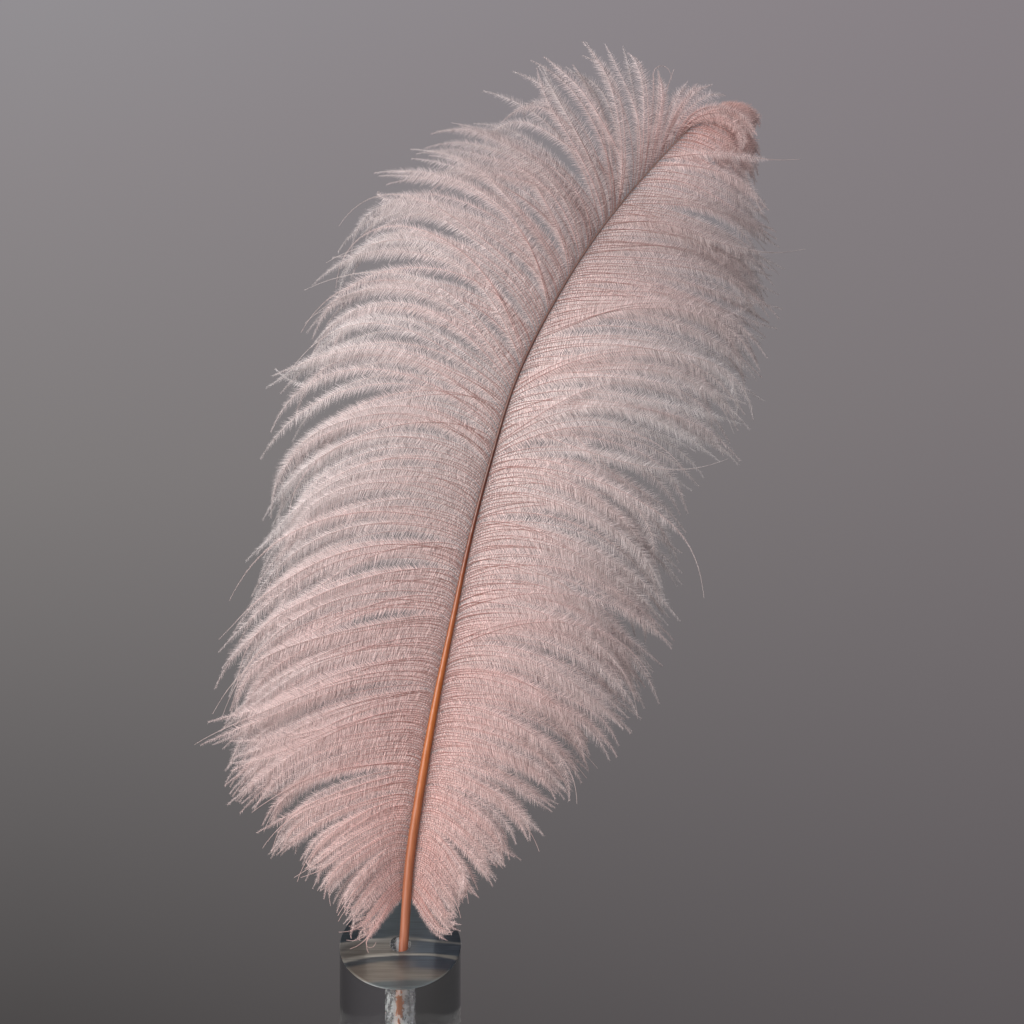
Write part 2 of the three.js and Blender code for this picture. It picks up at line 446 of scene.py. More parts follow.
def new_mesh(name, vertices, faces, smooth=True):
    """An object from vertices in millimetres and faces all of one size."""
    mesh = bpy.data.meshes.new(name)
    faces = np.asarray(faces, np.int32)
    size = faces.shape[1]
    mesh.vertices.add(len(vertices))
    mesh.vertices.foreach_set("co", (np.asarray(vertices, np.float32) * MM).ravel())
    mesh.loops.add(faces.size)
    mesh.loops.foreach_set("vertex_index", faces.ravel())
    mesh.polygons.add(len(faces))
    mesh.polygons.foreach_set("loop_start", np.arange(0, faces.size, size, dtype=np.int32))
    mesh.polygons.foreach_set("use_smooth", np.full(len(faces), smooth))
    mesh.update(calc_edges=True)
    mesh.validate()
    made = bpy.data.objects.new(name, mesh)
    bpy.context.scene.collection.objects.link(made)
    return made


def point_values(obj, name, values):
    data = obj.data.attributes.new(name, "FLOAT", "POINT").data
    data.foreach_set("value", np.asarray(values, np.float32))


def triples(*corners):
    """Triangles from three arrays of vertex numbers."""
    return np.stack(corners, -1).reshape(-1, 3)


def ring_bands(rings, sides):
    """Triangles that join each ring of vertices to the next, for rings stored one after another."""
    i = np.arange(sides)
    j = (i + 1) % sides
    bands = []
    for k in range(rings - 1):
        a, b = k * sides, (k + 1) * sides
        bands += [triples(a + i, a + j, b + j), triples(a + i, b + j, b + i)]
    return np.vstack(bands)


def ring_ends(rings, sides, first, last):
    """Triangles that close the first and the last ring around the vertices numbered first and last."""
    i = np.arange(sides)
    j = (i + 1) % sides
    top = (rings - 1) * sides
    return triples(j, i, np.full_like(i, first)), triples(top + i, top + j, np.full_like(i, last))


# ---- Barb paths ----


def lock_numbers(count, rng, sizes):
    """Gives each barb the number of the lock that it belongs to."""
    numbers = []
    lock = 0
    while len(numbers) < count:
        numbers += [lock] * int(rng.integers(*sizes))
        lock += 1
    return np.array(numbers[:count])


def per_lock(lock, spread, rng):
    """One random number for each lock, given to each of its barbs."""
    return rng.normal(0, spread, lock.max() + 1)[lock]


def drawn_together(paths, lock, strength, share):
    """Draws the barbs of each lock towards the lock's middle, more and more along their length."""
    steps = paths.shape[1]
    sums = np.stack([np.bincount(lock, paths[:, s, k]) for s in range(steps) for k in range(3)])
    middle = (sums / np.bincount(lock)).T.reshape(-1, steps, 3)[lock]
    return paths + (middle - paths) * strength[:, None, None] * share[None, :, None]


def plant_barbs(shaft, plan, rng):
    """Where the barbs of one side grow and how they would all lie, and the locks that they belong to.

    Broad locks part and cross, the strands of a few barbs that make them up wander a little, loose
    strands stray further, and behind them all every few barbs one stays in line and veils the gaps.
    """
    barbs = SimpleNamespace(count=BARBS_A_SIDE)
    order = np.arange(barbs.count) + 0.5 + rng.uniform(-0.3, 0.3, barbs.count)
    barbs.at = through(CROWDING, order / barbs.count)[:, 0]
    barbs.run = barbs.at * shaft.length * (1 - VANE_START)
    barbs.length, barbs.spread, barbs.droop, barbs.back = through(plan["barbs"], barbs.at).T
    place = VANE_START + (1 - VANE_START) * barbs.at - VANE_FOOT * near_foot(barbs.at, 0.03)
    along = shaft.tangent(place)
    barbs.root = shaft.point(place)
    barbs.heading = np.arctan2(along[:, 2], along[:, 0])
    barbs.inset = shaft.radius(place) * 0.7
    barbs.broad = lock_numbers(barbs.count, rng, LOCK_SIZES)
    barbs.strand = lock_numbers(barbs.count, rng, STRAND_SIZES)
    barbs.loose = rng.uniform(0, 1, barbs.strand.max() + 1)[barbs.strand] < LOOSE_SHARE
    barbs.behind = np.arange(barbs.count) % VEIL_EVERY == 0
    barbs.parting = through(PARTING, barbs.at)[:, 0] * ~barbs.behind
    return barbs


def vary_barbs(barbs, plan, rng):
    """Lets the barbs differ: in spread, droop and length, in how far back they lie, and in their tips."""
    run, broad, strand, loose, behind = barbs.run, barbs.broad, barbs.strand, barbs.loose, barbs.behind
    parting = barbs.parting

    def wandering(wanders, lock):
        size, wavelength, by_lock = wanders
        return size * wander(run, wavelength, rng) + per_lock(lock, by_lock, rng)

    own = rng.normal(0, 1, (3, barbs.count))
    barbs.spread = barbs.spread + parting * wandering(SPREAD_WANDER, broad) + SPREAD_CHANCE * own[0]
    loose_astray = LOOSE_ASTRAY[0] + LOOSE_ASTRAY[1] * parting
    strand_astray = STRAND_ASTRAY[0] + STRAND_ASTRAY[1] * parting
    astray = np.where(loose, loose_astray, strand_astray) * ~behind
    barbs.spread = barbs.spread + per_lock(strand, 1.0, rng) * astray

    barbs.droop = barbs.droop + parting * wandering(DROOP_WANDER, broad)
    barbs.droop = barbs.droop + np.where(behind, VEIL_DROOP_CHANCE, DROOP_CHANCE) * own[1]
    by_strand = np.where(loose, LOOSE_DROOP, STRAND_DROOP) * ~behind
    barbs.droop = barbs.droop + per_lock(strand, 1.0, rng) * by_strand
    veil_fan = VEIL_FAN * rng.uniform(-1, 1, barbs.count)
    strand_fan = rng.uniform(-1, 1, strand.max() + 1)[strand]
    fanned = np.where(behind, veil_fan, strand_fan) * through(plan["fan"], barbs.at)[:, 0]
    barbs.droop = barbs.droop + fanned

    longer = (1 + FAN_LENGTH * fanned) * (1 + wandering(LENGTH_WANDER, strand))
    longer = longer * (1 - LENGTH_CHANCE * np.abs(own[2]))
    bare_share = BARE_TIPS[0] + BARE_TIPS[1] * near_foot(barbs.at, 0.05)
    barbs.bare = rng.uniform(0, 1, barbs.count) < bare_share
    longer = longer * np.where(barbs.bare, rng.uniform(*BARE_LENGTHS, barbs.count), 1.0)
    barbs.length = barbs.length * longer

    forward = per_lock(strand, 1.0, rng)
    forward = np.where(loose, LOOSE_LIFT * np.abs(forward), STRAND_LIFT * forward)
    barbs.lift = np.where(behind, VEIL_DEPTH, wandering(LIFT_WANDER, broad) + forward)


def set_apart(barbs, plan):
    """Turns the locks that stand out, and sends the single strays their own way."""
    for centre, width, turn, more_droop, nearer, longer in plan["locks"]:
        weight = np.exp(-(((barbs.at - centre) / width) ** 4)) * ~barbs.behind
        barbs.spread = barbs.spread + turn * weight
        barbs.droop = barbs.droop + more_droop * weight
        barbs.lift = barbs.lift + nearer * weight
        barbs.length = barbs.length * (1 + longer * weight)
    barbs.alone = np.zeros(barbs.count, bool)
    for place, length, spread, droop in plan["strays"]:
        i = np.argmin(np.abs(barbs.at - place))
        barbs.length[i], barbs.spread[i], barbs.droop[i], barbs.lift[i] = length, spread, droop, STRAY_LIFT
        barbs.alone[i], barbs.bare[i] = True, True


def barb_turns(barbs, middle, rng):
    """How many degrees each barb is turned from the shaft's direction, at the middle of each step."""
    at, strand, parting = barbs.at, barbs.strand, barbs.parting
    late = BARB_BEND * np.exp(per_lock(strand, BEND_CHANCE, rng) * parting)
    bend = middle ** late[:, None]
    hug = np.maximum(barbs.spread - HUG_FROM, 0) * (1 - 0.75 * near_foot(at, 0.03))
    hug = hug[:, None] * np.exp(-middle * barbs.length[:, None] / HUG_REACH)
    sway = (1 + 3 * parting) * per_lock(strand, SWAY, rng)
    sway = sway[:, None] * np.sin(middle * SWAY_WAVES + per_lock(strand, 3.0, rng)[:, None])
    unruly = 8 + 14 * parting + 30 * near_foot(at, 0.04) - 6 * eased(0.8, 0.88, at)
    curl = TIP_CURL + per_lock(strand, CURL_CHANCE, rng) + unruly * rng.normal(0, 1, barbs.count)
    curl = (curl * np.where(barbs.droop < 0, -1, 1))[:, None] * eased(0.6, 1.0, middle)
    hooked = rng.uniform(0, 1, barbs.count) < HOOKED_TIPS[0] + HOOKED_TIPS[1] * near_foot(at, 0.05)
    hook = rng.uniform(*HOOK_TURN, barbs.count) * rng.choice([-1, 1], barbs.count)
    hook = np.where(hooked & ~barbs.alone, hook, 0)[:, None] * eased(0.72, 1.0, middle)
    return barbs.spread[:, None] + barbs.droop[:, None] * bend - hug + sway + curl + hook


def grow_barbs(shaft, plan, side, rng):
    """The barbs of one side: paths as (barb, step, xyz), places on the vane, lengths, and which end bare."""
    barbs = plant_barbs(shaft, plan, rng)
    vary_barbs(barbs, plan, rng)
    set_apart(barbs, plan)

    share = np.linspace(0, 1, BARB_STEPS + 1)
    middle = (share[1:] + share[:-1]) / 2
    angle = barbs.heading[:, None] - side * np.radians(barb_turns(barbs, middle, rng))
    outward = barbs.heading - side * math.pi / 2
    start = barbs.root[:, [0, 2]] + barbs.inset[:, None] * np.stack([np.cos(outward), np.sin(outward)], -1)
    step = (barbs.length / BARB_STEPS)[:, None, None] * np.stack([np.cos(angle), np.sin(angle)], -1)
    flat = start[:, None] + np.concatenate([np.zeros((barbs.count, 1, 2)), np.cumsum(step, axis=1)], 1)
    depth = barbs.length[:, None] * (barbs.back[:, None] * share**2 - BARB_BOW * np.sin(share * math.pi))
    depth = depth + (barbs.lift * np.minimum(barbs.length / 100, 1))[:, None] * share**1.2
    paths = np.stack([flat[..., 0], barbs.root[:, 1:2] + depth, flat[..., 1]], -1)

    tight = rng.uniform(0.1, 0.55, barbs.strand.max() + 1)[barbs.strand] * ~barbs.behind * ~barbs.alone
    paths = drawn_together(paths, barbs.strand, tight, eased(0.1, 0.8, share))
    slack = rng.uniform(0.0, 0.25, barbs.broad.max() + 1)[barbs.broad] * barbs.parting
    slack = slack * ~barbs.loose * ~barbs.alone
    paths = drawn_together(paths, barbs.broad, slack, eased(0.3, 1.0, share))
    return {"paths": paths, "at": barbs.at, "length": barbs.length, "bare": barbs.bare}


# ---- Barbs as meshes ----


def frames_along(tangent):
    """The direction towards the viewer that is square to each tangent, and the one square to both."""
    front = unit(np.array([0, -1, 0]) + tangent * tangent[..., 1:2])
    return front, np.cross(tangent, front)


def rib_mesh(paths, radii):
    """Three-sided tapering tubes along paths. Returns vertices, faces and each vertex's barb and share."""
    count, steps = paths.shape[:2]
    front, side = frames_along(unit(np.gradient(paths, axis=1)))
    rings = []
    for k in range(3):
        turn = math.radians(90 + 120 * k)
        rings.append(paths + radii[..., None] * (math.cos(turn) * side + math.sin(turn) * front))
    vertices = np.stack(rings, 2)
    index = np.arange(count * steps * 3).reshape(count, steps, 3)
    faces = []
    for k in range(3):
        a, b = index[:, :-1, k], index[:, :-1, (k + 1) % 3]
        c, d = index[:, 1:, (k + 1) % 3], index[:, 1:, k]
        faces += [triples(a, b, c), triples(a, c, d)]
    faces += [index[:, 0, ::-1], index[:, -1]]
    barb = np.repeat(np.arange(count), steps * 3)
    share = np.tile(np.repeat(np.linspace(0, 1, steps), 3), count)
    return vertices.reshape(-1, 3), np.vstack(faces), barb, share


def along_paths(paths, barb, share):
    """Points, tangents, fronts and sides at shares of chosen barbs."""
    steps = paths.shape[1] - 1
    place = np.clip(share, 0, 1) * steps
    i = np.minimum(place.astype(int), steps - 1)
    t = (place - i)[:, None]
    tangents = unit(np.gradient(paths, axis=1))
    point = paths[barb, i] * (1 - t) + paths[barb, i + 1] * t
    tangent = unit(tangents[barb, i] * (1 - t) + tangents[barb, i + 1] * t)
    return point, tangent, *frames_along(tangent)


def plant_barbules(lengths):
    """For every barbule: its barb, its number on it, how many that has, its tuft, and its side of the rib."""
    numbers = (lengths / (BARBULE_SPACING * TUFT)).astype(int) * TUFT
    barb = np.repeat(np.arange(len(lengths)), numbers)
    order = np.arange(len(barb)) - np.repeat(np.cumsum(numbers) - numbers, numbers)
    tuft = (np.arange(len(barb)) // TUFT) * 2
    way = np.repeat([-1.0, 1.0], len(tuft))
    tuft = np.concatenate([tuft, tuft + 1])
    return np.tile(barb, 2), np.tile(order, 2), np.tile(numbers[barb], 2), tuft, way


def barbule_reach(barbs, barb, share, tuft, rng):
    """How long each barbule is: short beside the shaft and at the barb's tip, and gone from a bare one."""
    run = share * barbs["length"][barb]
    full_from = FULL_FROM[1] - (FULL_FROM[1] - FULL_FROM[0]) * near_foot(barbs["at"], 0.09)[barb]
    from_shaft = SHORTEST_BARBULE + (1 - SHORTEST_BARBULE) * eased(0, 1, (run - 1) / (full_from - 1))
    to_tip = (0.9 + 0.25 * share) * (0.25 + 0.75 * eased(1.0, 0.76, share))
    bared = np.where(barbs["bare"][barb], 1 - 0.85 * eased(0.6, 0.8, share), 1)
    by_chance = rng.uniform(0.7, 1.2, tuft.max() + 1)[tuft] * rng.uniform(0.8, 1.1, len(share))
    return BARBULE_LENGTH * through(FLUFF, barbs["at"])[:, 0][barb] * from_shaft * to_tip * bared * by_chance


def barbule_mesh(barbs, side, rng):
    """Narrow blades along both sides of every barb, in tufts that lean towards a shared tip."""
    paths, lengths = barbs["paths"], barbs["length"]
    barb, order, number, tuft, way = plant_barbules(lengths)
    count, tuft_count = len(barb), tuft.max() + 1
    share = np.clip((order + 0.5 + rng.uniform(-0.4, 0.4, count)) / number, 0, 1)
    nudge = rng.uniform(-0.3, 0.3, tuft_count)[tuft]
    middle = np.clip(((order // TUFT + 0.5 + nudge) * TUFT) / number, 0, 1)
    point, tangent, front, beside = along_paths(paths, barb, share)

    # Each barb's strip of barbules rolls about the barb, so that its lower edge lies over the next barb.
    wave = rng.uniform(0, 6, len(paths))[barb]
    roll = side * LAP + rng.normal(0, ROLL, len(paths))[barb] + ROLL * np.sin(share * 6 + wave)
    rolled = np.cos(roll)[:, None] * beside + np.sin(roll)[:, None] * front
    up = np.cross(rolled, tangent)
    out = way[:, None] * rolled

    reach = barbule_reach(barbs, barb, share, tuft, rng)
    lean = BARBULE_LEAN - LEAN_CLOSES[0] * share - LEAN_CLOSES[1] * eased(0.8, 1.0, share)
    lean = np.radians(lean + rng.normal(0, 4, tuft_count)[tuft] + rng.normal(0, 3, count))
    proud = 1 - 2.0 * (tuft // 2 % 2)
    lift = 0.12 * proud - 0.12 + rng.normal(0, 0.1, tuft_count)[tuft] + rng.normal(0, 0.05, count)
    point = point - BARBULE_SET * front
    pull = ((middle - share) * lengths[barb] * TUFT_PULL)[:, None] * tangent
    ahead = np.cos(lean)[:, None] * tangent + np.sin(lean)[:, None] * out + lift[:, None] * up
    tip = point + pull + reach[:, None] * ahead
    tip[:, 2] -= SAG * reach
    twist = rng.normal(0, 0.5, count)[:, None]
    across = np.cos(twist) * tangent + np.sin(twist) * up
    half = (0.5 * BARBULE_WIDTH * rng.uniform(0.75, 1.2, count))[:, None]
    vertices = np.stack([point - half * across, point + half * across, tip], 1).reshape(-1, 3)
    faces = np.arange(len(vertices)).reshape(-1, 3)
    # Painted highlight and shade: a tuft that stands proud is painted lighter and one that lies lower darker,
    # and a random tone is added.
    tuft_shade_and_tone = np.clip(0.5 + 0.3 * proud + rng.normal(0, 0.2, tuft_count)[tuft], 0, 1)
    return vertices, faces, np.repeat(barb, 3), np.repeat(share, 3), np.repeat(tuft_shade_and_tone, 3)


def barb_piece(name, node, side, barbs, rng, material):
    """One mesh of the barbs on a stretch of one side."""
    paths = barbs["paths"]
    tip = np.where(barbs["bare"], BARE_RADIUS, RIB_RADIUS[1])
    radii = RIB_RADIUS[0] + (tip[:, None] - RIB_RADIUS[0]) * np.linspace(0, 1, paths.shape[1])
    ribs, rib_faces, rib_barb, rib_share = rib_mesh(paths, radii)
    blades, blade_faces, blade_barb, blade_share, blade_tuft_shade_and_tone = barbule_mesh(barbs, side, rng)
    faces = np.vstack([rib_faces, blade_faces + len(ribs)])
    made = new_mesh(name, np.vstack([ribs, blades]), faces, smooth=False)
    tint = rng.uniform(0, 1, len(paths))
    barb = np.concatenate([rib_barb, blade_barb])
    point_values(made, "share", np.concatenate([rib_share, blade_share]))
    point_values(made, "tint", tint[barb])
    point_values(made, "tuft_shade_and_tone", np.concatenate([np.full(len(ribs), 0.5), blade_tuft_shade_and_tone]))
    point_values(made, "rib", np.concatenate([np.ones(len(ribs)), np.zeros(len(blades))]))
    point_values(made, "height", barbs["at"][barb])
    made.data.materials.append(material)
    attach(made, "root")
    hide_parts(node)
    print(name, len(faces), "triangles")


def make_plume(shaft, material):
    rng = np.random.default_rng(SEED)
    left = {"barbs": LEFT_BARBS, "locks": LEFT_LOCKS, "strays": LEFT_STRAYS, "fan": LEFT_FAN}
    right = {"barbs": RIGHT_BARBS, "locks": RIGHT_LOCKS, "strays": RIGHT_STRAYS, "fan": RIGHT_FAN}
    for side, node, plan in ((-1, "left_vane", left), (1, "right_vane", right)):
        vane = grow_barbs(shaft, plan, side, rng)
        for name, low, high in STRETCHES:
            chosen = (vane["at"] >= low) & (vane["at"] < high)
            barbs = {key: values[chosen] for key, values in vane.items()}
            barb_piece(f"{node}_{name}_barbs", node, side, barbs, rng, material)


# ---- Shader nodes ----


def new_material(name):
    material = bpy.data.materials.new(name)
    material.use_nodes = True
    nodes = material.node_tree.nodes
    return material, nodes, material.node_tree.links, nodes["Principled BSDF"]


def attribute(nodes, name):
    node = nodes.new("ShaderNodeAttribute")
    node.attribute_name = name
    return node.outputs["Fac"]


def grey(value):
    return (value, value, value)


def ramp(nodes, links, value, stops):
    node = nodes.new("ShaderNodeValToRGB")
    while len(node.color_ramp.elements) < len(stops):
        node.color_ramp.elements.new(0.5)
    for element, (place, colour) in zip(node.color_ramp.elements, stops):
        element.position = place
        element.color = (*colour, 1)
    links.new(value, node.inputs["Fac"])
    return node.outputs["Color"]


def blend_colours(nodes, links, mode, factor, a, b):
    node = nodes.new("ShaderNodeMix")
    node.data_type = "RGBA"
    node.blend_type = mode
    for socket, value in (("Factor", factor), ("A", a), ("B", b)):
        target = [s for s in node.inputs if s.name == socket and s.enabled][0]
        if isinstance(value, bpy.types.NodeSocket):
            links.new(value, target)
        else:
            target.default_value = value if socket == "Factor" else (*value, 1)
    return [s for s in node.outputs if s.enabled][0]


def multiplied(nodes, links, colour, *others):
    for other in others:
        colour = blend_colours(nodes, links, "MULTIPLY", 1.0, colour, other)
    return colour


def multiply_add(nodes, links, *values):
    """The first times the second plus the third, each of them a socket or a number."""
    node = nodes.new("ShaderNodeMath")
    node.operation = "MULTIPLY_ADD"
    for socket, value in zip(node.inputs, values):
        if isinstance(value, bpy.types.NodeSocket):
            links.new(value, socket)
        else:
            socket.default_value = value
    return node.outputs["Value"]


def from_range(nodes, links, value, low, high, easing="LINEAR"):
    """0 where the value is low, 1 where it is high."""
    node = nodes.new("ShaderNodeMapRange")
    node.interpolation_type = easing
    node.inputs["From Min"].default_value = low
    node.inputs["From Max"].default_value = high
    links.new(value, node.inputs["Value"])
    return node.outputs["Result"]


def noise(nodes, links, detail, scale=1.0, cells=None):
    """Noise over the object's box, or, with cells, with that many cells a metre along each axis."""
    node = nodes.new("ShaderNodeTexNoise")
    node.inputs["Scale"].default_value = scale
    node.inputs["Detail"].default_value = detail
    if cells:
        place = nodes.new("ShaderNodeTexCoord")
        stretch = nodes.new("ShaderNodeMapping")
        stretch.inputs["Scale"].default_value = cells
        links.new(place.outputs["Object"], stretch.inputs["Vector"])
        links.new(stretch.outputs["Vector"], node.inputs["Vector"])
    return node.outputs["Fac"]


def add_bump(nodes, links, shader, height, strength, distance):
    bump = nodes.new("ShaderNodeBump")
    bump.inputs["Strength"].default_value = strength
    bump.inputs["Distance"].default_value = distance
    links.new(height, bump.inputs["Height"])
    links.new(bump.outputs["Normal"], shader.inputs["Normal"])


# ---- Materials ----


def barb_material():
    """Dyed down that lets some light through, with darker ribs, salmon where the tip folds over, and painted
    highlight and shade on its tufts of barbules.
    """
    material, nodes, links, shader = new_material("dyed_barbs")
    share, height = attribute(nodes, "share"), attribute(nodes, "height")
    down = ramp(nodes, links, share, DOWN_ALONG_BARB)
    rib = ramp(nodes, links, share, RIB_ALONG_BARB)
    # This ramp paints highlight and shade by how proud each tuft stands, over a random tone.
    tuft_shade_and_tone = ramp(nodes, links, attribute(nodes, "tuft_shade_and_tone"), DOWN_TUFT_SHADE_AND_TONE)
    tint = ramp(nodes, links, attribute(nodes, "tint"), BARB_TINTS)
    up_vane = ramp(nodes, links, height, DOWN_UP_VANE)
    fold = ramp(nodes, links, multiply_add(nodes, links, share, -0.05, height), SALMON_FOLD)
    colour = blend_colours(nodes, links, "MIX", attribute(nodes, "rib"), down, rib)
    colour = multiplied(nodes, links, colour, tuft_shade_and_tone, tint, up_vane, fold)
    links.new(colour, shader.inputs["Base Color"])
    shader.inputs["Roughness"].default_value = 0.55
    shader.inputs["Sheen Weight"].default_value = 0.3
    shader.inputs["Sheen Roughness"].default_value = 0.4
    through_light = nodes.new("ShaderNodeBsdfTranslucent")
    links.new(colour, through_light.inputs["Color"])
    mix = nodes.new("ShaderNodeMixShader")
    mix.inputs["Fac"].default_value = 0.35
    links.new(shader.outputs["BSDF"], mix.inputs[1])
    links.new(through_light.outputs["BSDF"], mix.inputs[2])
    links.new(mix.outputs["Shader"], nodes["Material Output"].inputs["Surface"])
    return material


def quill_material():
    """Keratin: coral where it is bare, painted lighter inside the bore and with a painted shadow at the
    bore's mouth, then brown to maroon, with fine streaks along it.
    """
    material, nodes, links, shader = new_material("quill_keratin")
    # The ramp's lowest stops hold painted light inside the bore and a painted shadow at its mouth.
    colour = ramp(nodes, links, attribute(nodes, "share"), QUILL_TO_TIP_WITH_PAINTED_LIGHT)
    fibres = noise(nodes, links, 3.0, cells=(1100, 1100, 35))
    streaks = ramp(nodes, links, fibres, QUILL_STREAKS)
    links.new(multiplied(nodes, links, colour, streaks), shader.inputs["Base Color"])
    gloss = ramp(nodes, links, fibres, [(0.3, grey(0.38)), (0.7, grey(0.52))])
    links.new(gloss, shader.inputs["Roughness"])
    add_bump(nodes, links, shader, fibres, 0.35, 0.0002)
    return material


def acrylic_material():
    """Polished clear acrylic with the faintest smears in its polish, given a grey tint that paints shade into
    what is seen through it.
    """
    material, nodes, links, shader = new_material("clear_acrylic")
    shader.inputs["Base Color"].default_value = (*ACRYLIC_SHADE_TINT, 1)
    shader.inputs["Transmission Weight"].default_value = 1.0
    shader.inputs["IOR"].default_value = ACRYLIC_IOR
    smears = noise(nodes, links, 3.0, scale=90.0)
    polish = ramp(nodes, links, smears, [(0.4, grey(0.005)), (0.8, grey(0.05))])
    links.new(polish, shader.inputs["Roughness"])
    return material


def sawn_material():
    """The slanted face, left satin by the saw, with painted reflections in bands that run across it in
    shallow arcs.
    """
    material, nodes, links, shader = new_material("sawn_acrylic")
    place = nodes.new("ShaderNodeTexCoord")
    split = nodes.new("ShaderNodeSeparateXYZ")
    links.new(place.outputs["Object"], split.inputs["Vector"])
    x, z = split.outputs["X"], split.outputs["Z"]

    arc = multiply_add(nodes, links, multiply_add(nodes, links, x, 2.3, -0.03), x, z)
    ragged = noise(nodes, links, 3.0, cells=(18, 0, 260))
    level = from_range(nodes, links, multiply_add(nodes, links, ragged, 0.005, arc), 0.1025, 0.1525)
    # These band colours are painted reflections, blended from the face's left to its right.
    left = ramp(nodes, links, level, REFLECTED_BANDS_LEFT)
    right = ramp(nodes, links, level, REFLECTED_BANDS_RIGHT)
    across = from_range(nodes, links, x, -0.008, 0.014, "SMOOTHSTEP")
    bands = blend_colours(nodes, links, "MIX", across, left, right)
    fine = noise(nodes, links, 4.0, cells=(35, 0, 1500))
    scratches = ramp(nodes, links, fine, SAW_SCRATCHES)
    links.new(multiplied(nodes, links, bands, scratches), shader.inputs["Base Color"])
    shader.inputs["Transmission Weight"].default_value = 0.75
    shader.inputs["IOR"].default_value = ACRYLIC_IOR
    satin = ramp(nodes, links, fine, [(0.3, grey(0.28)), (0.7, grey(0.42))])
    links.new(satin, shader.inputs["Roughness"])
    add_bump(nodes, links, shader, fine, 0.25, 0.0002)
    return material


def drilled_material():
    """The bore's wall: acrylic whitened and frosted by the drill."""
    material, nodes, links, shader = new_material("drilled_acrylic")
    flakes = noise(nodes, links, 4.0, cells=(420, 420, 150))
    links.new(ramp(nodes, links, flakes, DRILL_FLAKES), shader.inputs["Base Color"])
    clear = ramp(nodes, links, flakes, [(0.44, WHITE), (0.58, grey(0.5))])
    links.new(clear, shader.inputs["Transmission Weight"])
    frost = ramp(nodes, links, flakes, [(0.35, grey(0.05)), (0.65, grey(0.5))])
    links.new(frost, shader.inputs["Roughness"])
    shader.inputs["IOR"].default_value = ACRYLIC_IOR
    add_bump(nodes, links, shader, flakes, 0.5, 0.0004)
    return material


def floor_material():
    material, nodes, links, shader = new_material("pale_floor")
    mottle = noise(nodes, links, 2.0, scale=6.0)
    links.new(ramp(nodes, links, mottle, FLOOR_COLOURS), shader.inputs["Base Color"])
    shader.inputs["Roughness"].default_value = 0.6
    return material


# ---- The stand and the shaft ----


def ring(radius, turn, height):
    """A ring of vertices about the stand's axis."""
    return np.stack([radius * np.cos(turn), radius * np.sin(turn), height + 0 * turn], -1)


def stand_profile(rise):
    """The stand's outside as (radius, height, slope) from base to bore, and the sawn face's start and end.

    Beside each rounded edge a further ring keeps the flat or straight surface next to it true.
    """
    flat_edge = STAND_RADIUS - STAND_BEVEL - EDGE_GUARD
    quarters = np.linspace(0, math.pi / 2, EDGE_STEPS)
    profile = [(flat_edge, 0, 0)]
    for quarter in quarters:
        inset = STAND_BEVEL * (1 - math.sin(quarter))
        profile.append((STAND_RADIUS - inset, STAND_BEVEL * (1 - math.cos(quarter)), 0))
    profile.append((STAND_RADIUS, STAND_BEVEL + EDGE_GUARD, 0))
    profile.append((STAND_RADIUS, MOUTH_HEIGHT - STAND_BEVEL - EDGE_GUARD, rise))
    face_start = len(profile)
    for quarter in quarters:
        inset = STAND_BEVEL * (1 - math.cos(quarter))
        drop = STAND_BEVEL * (1 - math.sin(quarter))
        profile.append((STAND_RADIUS - inset, MOUTH_HEIGHT - drop, rise))
    profile.append((flat_edge, MOUTH_HEIGHT, rise))
    profile.append((BORE_RADIUS + MOUTH_BEVEL + EDGE_GUARD, MOUTH_HEIGHT, rise))
    profile.append((BORE_RADIUS + MOUTH_BEVEL, MOUTH_HEIGHT, rise))
    face_end = len(profile) - 1
    profile.append((BORE_RADIUS, MOUTH_HEIGHT - MOUTH_BEVEL, rise))
    return profile, face_start, face_end


def bore_rings(turn, rise, rng):
    """Rings down the bore, scored by the drill in a spiral that fades at both ends."""
    top, floor = MOUTH_HEIGHT - MOUTH_BEVEL, MOUTH_HEIGHT - BORE_DEPTH
    ragged = rng.uniform(0, 1, (BORE_RINGS + 1, STAND_SIDES))
    rings = []
    for k, depth in enumerate(np.linspace(0, 1, BORE_RINGS + 1)[1:]):
        z = top + (floor - top) * depth + rise * (1 - depth) * BORE_RADIUS * np.sin(turn)
        spiral = 0.5 + 0.5 * np.sin(2 * math.pi * z / DRILL_PITCH + turn)
        scored = DRILL_MARK * spiral * (0.6 + 0.4 * ragged[k])
        scored = scored * eased(0, 0.02, depth) * eased(1, 0.98, depth)
        rings.append(ring(BORE_RADIUS - scored, turn, z))
    return rings


def make_stand(polished, drilled, sawn, rng):
    """A cylinder cut off at a slant, with rounded edges and a drilled bore."""
    rise = math.tan(STAND_SLANT)
    cone = (BORE_RADIUS - BORE_CHISEL) / math.tan(BORE_POINT / 2)
    pit = MOUTH_HEIGHT - BORE_DEPTH - cone
    turn = np.linspace(0, 2 * math.pi, STAND_SIDES, endpoint=False)
    profile, face_start, face_end = stand_profile(rise)
    rings = [ring(r, turn, z + slope * r * np.sin(turn)) for r, z, slope in profile]
    rings += bore_rings(turn, rise, rng)
    rings.append(ring(BORE_CHISEL, turn, pit))
    vertices = np.vstack([*rings, [[0, 0, 0]], [[0, 0, pit]]])
    bands = ring_bands(len(rings), STAND_SIDES)
    ends = ring_ends(len(rings), STAND_SIDES, len(vertices) - 2, len(vertices) - 1)
    made = new_mesh("stand_body", vertices, np.vstack([bands, *ends]))
    made.data.set_sharp_from_angle(angle=CREASE)

    for material in (polished, drilled, sawn):
        made.data.materials.append(material)
    is_drilled, is_sawn = 1, 2
    band = 2 * STAND_SIDES
    finish = np.zeros(len(made.data.polygons), np.int32)
    finish[face_start * band : face_end * band] = is_sawn
    finish[(len(profile) - 1) * band : len(bands)] = is_drilled
    finish[-STAND_SIDES:] = is_drilled
    made.data.polygons.foreach_set("material_index", finish)
    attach(made, "root")
    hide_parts("acrylic_stand")


